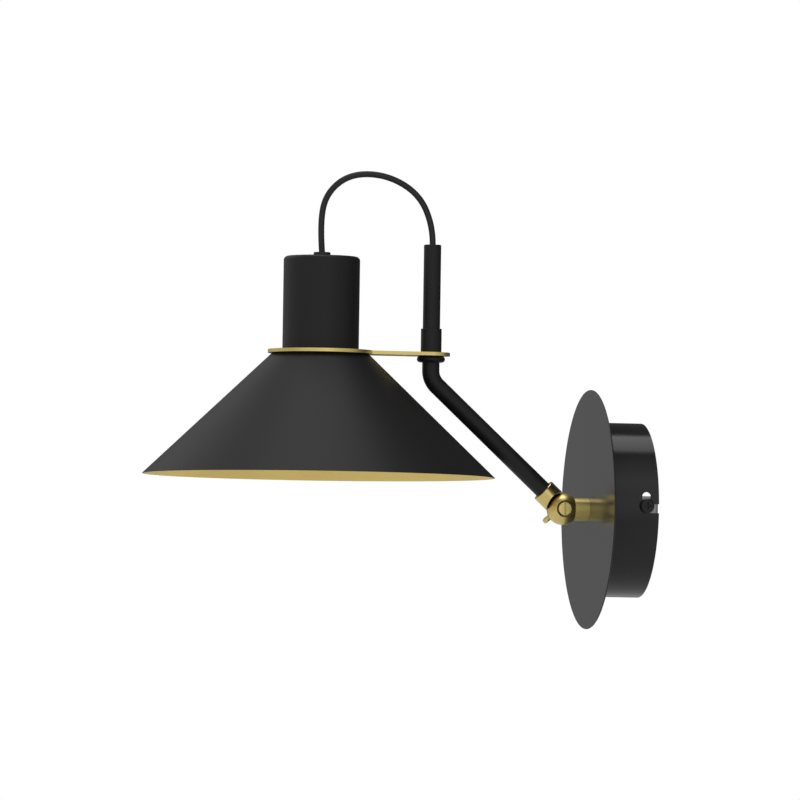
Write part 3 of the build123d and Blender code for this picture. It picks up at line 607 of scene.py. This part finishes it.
class LAMP_OT_socket(Operator):
    """Rolled screw shell of the lampholder and the ribbed ring that holds the shade"""
    bl_idname = "lamp.socket"
    bl_label = "Socket and ring"

    def execute(self, context):
        self.shell(sizes().socket_pitch, sizes().socket_depth)
        self.ring(sizes().ring_ribs, sizes().rib_depth)
        return {"FINISHED"}

    def shell(self, pitch, depth, columns=144):
        """Sheet with a rolled thread: r = root - depth e (1 - cos(2 pi h / pitch - t)) / 2.

        e eases from 0 at both ends to 1 one pitch further in.
        """
        low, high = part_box("screw_shell")
        root, floor = high.x - SHELL_WALL, high.z - SHELL_FLOOR
        height = np.linspace(low.z, floor, SHELL_ROWS)
        angle = np.linspace(0, tau, columns, endpoint=False)
        reach = np.clip(np.minimum(height - low.z, floor - height) / pitch, 0, 1)
        ease = reach ** 2 * (3 - 2 * reach)
        wave = (1 - np.cos(tau * height[:, None] / pitch - angle)) / 2
        inside = root - depth * ease[:, None] * wave
        window = np.full((2, columns), SHELL_WINDOW)
        radius = np.vstack([inside, window, inside[::-1] + SHELL_WALL])
        levels = np.concatenate([height, [floor, high.z, high.z], height[::-1][1:]])
        points = turned(radius, levels, SHADE_AXIS, columns=columns)
        brass = bpy.data.materials["shell_brass"]
        piece("rolled_shell", points[::-1], [brass], "head", "screw_shell")

    def ring(self, ribs, depth):
        """Ring whose outside waves in and out: r = R - depth ((1 + cos(ribs t)) / 2) ** 1.5."""
        low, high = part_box("shade_ring")
        outline = rounded([
            (RING_BORE, low.z, RING_BORE_ROUNDING), (high.x, low.z, RING_ROUNDING),
            (high.x, high.z, RING_ROUNDING), (RING_BORE, high.z, RING_BORE_ROUNDING)], steps=5)
        columns = ribs * RIB_COLUMNS
        angle = np.linspace(0, tau, columns, endpoint=False)
        outer = np.clip((outline[:, 0] - (high.x - RIB_BAND)) / RIB_BAND, 0, 1)
        groove = ((1 + np.cos(ribs * angle)) / 2) ** RIB_POWER
        radius = outline[:, :1] - depth * outer[:, None] * groove
        points = turned(radius, outline[:, 1], SHADE_AXIS, columns=columns)
        plastic = bpy.data.materials["holder_plastic"]
        piece("ribbed_ring", points, [plastic], "head", "shade_ring")


NIPPLE_BORE, ROWS_PER_PITCH = 3.5 * MM, 10
# Length over which the thread runs out at both ends, in pitches
RUN_OUT = 0.6


class LAMP_OT_nipples(Operator):
    """Threaded tubes that clamp the knuckle to the canopy and the cord grip to the lampholder"""
    bl_idname = "lamp.nipples"
    bl_label = "Nipples"

    def execute(self, context):
        low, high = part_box("stem_nipple")
        self.nipple("stem_nipple", "canopy", high.x, -high.y, -low.y, (0, 0, 0), OUT)
        low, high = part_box("cap_nipple")
        self.nipple("cap_nipple", "head", high.x, low.z, high.z, SHADE_AXIS, UP)
        return {"FINISHED"}

    def nipple(self, node, body, crest, start, end, centre, axes, columns=96):
        """Thread on a tube: r = R - depth (1 - e (1 - s)), with s = 2 |u - round u|.

        u = h / pitch - t / 2 pi counts the turns, and e falls to 0 at both ends.
        """
        pitch, depth = sizes().nipple_pitch, sizes().nipple_depth
        height = np.linspace(start, end, int((end - start) / pitch * ROWS_PER_PITCH))
        angle = np.linspace(0, tau, columns, endpoint=False)
        turns = height[:, None] / pitch - angle / tau
        saw = 2 * np.abs(turns - np.floor(turns + 0.5))
        reach = np.clip(np.minimum(height - start, end - height) / (RUN_OUT * pitch), 0, 1)
        outside = crest - depth * (1 - reach[:, None] * (1 - saw))
        radius = np.vstack([outside, np.full((2, columns), NIPPLE_BORE)])
        levels = np.concatenate([height, [end, start]])
        points = turned(radius, levels, centre, axes, columns)
        zinc = bpy.data.materials["zinc_plating"]
        piece(node + "_thread", points, [zinc], body, node, sharp=THREAD_SHARP_ANGLE)


# Inner radius of the tube that is cut away and its distance from the pivot's middle, in arcs
CUT_INNER, CUT_START = 0.5, 0.01
MERGE_DISTANCE = 0.001 * MM


class LAMP_OT_ferrule(Operator):
    """Arm half of the knuckle, whose ferrule is cut in an arc that clears the other half"""
    bl_idname = "lamp.ferrule"
    bl_label = "Ferrule"

    def execute(self, context):
        """Takes R / 2 < r < R and R / 100 < x < R, a tube round the pivot, from a copy of the half."""
        made = placed("cut_ferrule", self.merged_copy("knuckle_arm"))
        arc, pivot = sizes().ferrule_arc, middle("pivot_screw")
        tube = turned(arc * np.array([CUT_INNER, 1, 1, CUT_INNER]),
                      arc * np.array([CUT_START, CUT_START, 1, 1]), (0, pivot.y, pivot.z), ACROSS)
        tool = placed("arc_tool", grid_mesh("arc_tool", tube))
        cut = made.modifiers.new("arc", "BOOLEAN")
        cut.object, cut.operation, cut.solver = tool, "DIFFERENCE", "EXACT"
        view = context.evaluated_depsgraph_get()
        shaped = bpy.data.meshes.new_from_object(made.evaluated_get(view))
        made.modifiers.clear()
        made.data = shaped
        bpy.data.objects.remove(tool)
        shaped.materials.clear()
        finished(shaped, [bpy.data.materials["arm_brass"]])
        stands_for(made, "arm", "knuckle_arm")
        return {"FINISHED"}

    def merged_copy(self, node):
        """A copy of a CAD node's mesh with its seams merged."""
        whole = bmesh.new()
        whole.from_mesh(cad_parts[node].data)
        bmesh.ops.remove_doubles(whole, verts=whole.verts, dist=MERGE_DISTANCE)
        mesh = bpy.data.meshes.new("cut_ferrule")
        whole.to_mesh(mesh)
        whole.free()
        mesh.attributes.remove(mesh.attributes["custom_normal"])
        return mesh


class LAMP_OT_finishes(Operator):
    """Paint, brass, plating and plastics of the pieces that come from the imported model"""
    bl_idname = "lamp.finishes"
    bl_label = "Finishes"

    def execute(self, context):
        tint = colours()
        dress(satin_paint("canopy_paint", tint.paint, rough=0.18, gloss=0.38), "canopy_drum", "canopy_disc")
        dress(satin_paint("satin_paint", tint.paint, rough=0.46, gloss=0.31),
              "arm_tube", "stop_collar", "hub_sleeve", "lamp_cup")
        dress(satin_paint("black_oxide", tint.dark_screw, rough=0.3, gloss=0.3), "side_screws")
        dress(brushed_metal("stem_brass", tint.brass, STEM_BRUSH, rough=0.36), "knuckle_base")
        dress(brushed_metal("arm_brass", tint.brass, ARM_BRUSH, ARM_BRUSH_TURN), "knuckle_arm")
        dress(brushed_metal("pivot_brass", tint.brass, PIVOT_BRUSH),
              "pivot_screw", "wing_nut", "wing_washer")
        dress(brushed_metal("plate_brass", tint.brass, PLATE_BRUSH, rough=0.32), "bracket_plate")
        dress(brushed_metal("shell_brass", tint.brass, SHELL_BRUSH, rough=0.3),
              "terminal_sleeves", "earth_screw", "centre_contact")
        dress(plated_steel("zinc_plating", tint.zinc), "wall_bracket", "earth_washer", "clamp_screws",
              "block_screw", "stem_washer", "stem_nut", "holder_screws")
        dress(moulded("block_plastic", tint.block, rough=0.45), "terminal_block", "contact_base")
        dress(moulded("holder_plastic", tint.holder, rough=0.42),
              "post_bush", "cord_grip", "lampholder_body", "lampholder_cap")
        dress(pressed_fibre("pressed_fibre", tint.fibre), "friction_ring")
        return {"FINISHED"}


# Stage

CAMERA_TARGET = Vector((-32.1, -171.25, 77.35)) * MM
CAMERA_DISTANCE = 6.0
CAMERA_AZIMUTH, CAMERA_ELEVATION, CAMERA_ROLL = radians(78.418), radians(-2.176), radians(0.883)
CAMERA_LENS, CAMERA_SENSOR, CAMERA_REACH = 372.93, 36.0, 100.0
FLOOR_DROP, FLOOR_RADIUS, FLOOR_SPOKES, FLOOR_TONE = 0.45, 2.2, 96, 0.86
# Distances from the middle of the floor between which it fades into white
FLOOR_FADE = (0.5, 1.6)
# Soft panel above the lamp: place, length along x, length along y, and radiant power
PANEL_PLACE, PANEL_LONG, PANEL_WIDE, PANEL_POWER = Vector((-0.63, -0.15, 4.0)), 2.4, 2.5, 40.0
# Soft lights of the studio that gloss shows: direction, cosine at which each starts, and level
GLOSS_LIGHTS = (
    ((0.6, 0.2, 0.77), 0.86, 0.42),
    ((-0.9, -0.42, -0.1), 0.75, 0.24),
    ((0.8, 0.55, 0.1), 0.5, 0.42),
    ((0.0, -1.0, 0.0), 0.4, 0.36),
    ((-0.62, -0.42, 0.66), 0.8, 0.75),
    ((0.9, -0.3, 0.2), 0.6, 0.56),
)
GLOSS_LEVEL = 0.07
# Fill for dull surfaces: an even level, and a soft light from the front of the shade
FILL_LEVEL = 0.3
FILL_LIGHT = ((0.0, -1.0, 0.0), -0.3, 0.68)
WHITE = (1, 1, 1, 1)


class LAMP_OT_stage(Operator):
    """Camera of the photograph, pale floor, soft panel and white surroundings"""
    bl_idname = "lamp.stage"
    bl_label = "Stage"

    def execute(self, context):
        self.camera()
        self.panel()
        self.floor()
        self.surroundings()
        context.scene.view_settings.view_transform = "Standard"
        return {"FINISHED"}

    def camera(self):
        """The camera looks back along the direction given by its azimuth and elevation, rolled about it."""
        flat = cos(CAMERA_ELEVATION)
        back = Vector((sin(CAMERA_AZIMUTH) * flat, -cos(CAMERA_AZIMUTH) * flat, sin(CAMERA_ELEVATION)))
        right = Vector((cos(CAMERA_AZIMUTH), sin(CAMERA_AZIMUTH), 0))
        level = Matrix((right, back.cross(right), back)).transposed()
        turn = level @ Matrix.Rotation(CAMERA_ROLL, 3, "Z")
        data = bpy.data.cameras.new("camera")
        data.lens, data.sensor_width, data.clip_end = CAMERA_LENS, CAMERA_SENSOR, CAMERA_REACH
        made = placed("camera", data)
        made.matrix_world = Matrix.LocRotScale(CAMERA_TARGET + CAMERA_DISTANCE * back, turn, None)
        bpy.context.scene.camera = made

    def panel(self):
        """Wide soft light above the lamp, out of the camera's sight."""
        data = bpy.data.lights.new("panel_above", "AREA")
        data.shape, data.size, data.size_y = "RECTANGLE", PANEL_LONG, PANEL_WIDE
        data.energy = PANEL_POWER
        made = placed("panel_above", data)
        made.location = PANEL_PLACE
        made.visible_camera = False

    def floor(self):
        """Round sheet, P = (r cos t, r sin t, level); it fades into the white round it."""
        centre = (CAD_LOW + CAD_HIGH) / 2
        angle = np.linspace(0, tau, FLOOR_SPOKES, endpoint=False)
        ring = np.stack([np.cos(angle), np.sin(angle), np.zeros_like(angle)], axis=-1)
        place = np.array((centre.x, centre.y, CAD_LOW.z - FLOOR_DROP))
        mesh = bpy.data.meshes.new("floor")
        mesh.from_pydata(place + FLOOR_RADIUS * ring, [], [list(range(FLOOR_SPOKES))])
        made = placed("floor", mesh)

        finish = Finish("floor")
        spot = finish.node("ShaderNodeVectorMath", {"operation": "DISTANCE"},
                           {0: finish.place(), 1: tuple(place)}, out="Value")
        far = spot.smooth(*FLOOR_FADE) * finish.node("ShaderNodeLightPath", out="Is Camera Ray")
        pale = finish.node("ShaderNodeBsdfDiffuse", sockets={"Color": (FLOOR_TONE,) * 3 + (1,)})
        white = finish.node("ShaderNodeEmission", sockets={"Color": WHITE, "Strength": 1.0})
        clear = finish.node("ShaderNodeBsdfTransparent")
        shown = finish.node("ShaderNodeMixShader", sockets={0: far, 1: pale, 2: white})
        behind = finish.node("ShaderNodeNewGeometry", out="Backfacing")
        one_sided = finish.node("ShaderNodeMixShader", sockets={0: behind, 1: shown, 2: clear})
        mesh.materials.append(finish.output(one_sided))

    def surroundings(self):
        """White where the camera looks past the lamp, soft lights in gloss, and an even fill elsewhere."""
        world = bpy.data.worlds.new("studio")
        bpy.context.scene.world = world
        finish = Finish("studio", world)
        direction = finish.node("ShaderNodeTexCoord", out="Generated")

        def light(towards, start, level):
            facing = finish.node("ShaderNodeVectorMath", {"operation": "DOT_PRODUCT"},
                                 {0: direction, 1: towards}, out="Value")
            return level * facing.smooth(start, 1.0)

        seen, through, gloss = (finish.node("ShaderNodeLightPath", out=f"Is {ray} Ray")
                                for ray in ("Camera", "Transmission", "Glossy"))
        studio = GLOSS_LEVEL + sum(light(*lamp) for lamp in GLOSS_LIGHTS)
        fill = FILL_LEVEL + light(*FILL_LIGHT)
        direct, bounced = (seen + through).clamped(), (1 - seen - through).clamped()
        level = direct + bounced * (gloss * studio + (1 - gloss) * fill)
        finish.output(finish.node("ShaderNodeBackground", sockets={"Color": WHITE, "Strength": level}))


PIECES = (LAMP_OT_finishes, LAMP_OT_loop_cord, LAMP_OT_wiring, LAMP_OT_shade, LAMP_OT_socket,
          LAMP_OT_nipples, LAMP_OT_ferrule, LAMP_OT_stage)


class LAMP_PT_panel(Panel):
    """Sizes and colours of the lamp, and a button for each group of pieces"""
    bl_idname = "LAMP_PT_panel"
    bl_label = "Wall lamp"
    bl_space_type = "VIEW_3D"
    bl_region_type = "UI"
    bl_category = "Lamp"

    def draw(self, context):
        for group in (context.scene.lamp_sizes, context.scene.lamp_colours):
            box = self.layout.box()
            for key in group.__annotations__:
                box.prop(group, key)
        for operator in PIECES:
            self.layout.operator(operator.bl_idname)


CLASSES = (LampSizes, LampColours, *PIECES, LAMP_PT_panel)


def register():
    for kind in CLASSES:
        bpy.utils.register_class(kind)
    bpy.types.Scene.lamp_sizes = PointerProperty(type=LampSizes)
    bpy.types.Scene.lamp_colours = PointerProperty(type=LampColours)


def unregister():
    del bpy.types.Scene.lamp_colours
    del bpy.types.Scene.lamp_sizes
    for kind in reversed(CLASSES):
        bpy.utils.unregister_class(kind)


def main():
    register()
    for operator in PIECES:
        group, name = operator.bl_idname.split(".")
        getattr(getattr(bpy.ops, group), name)()


if __name__ == "__main__":
    main()
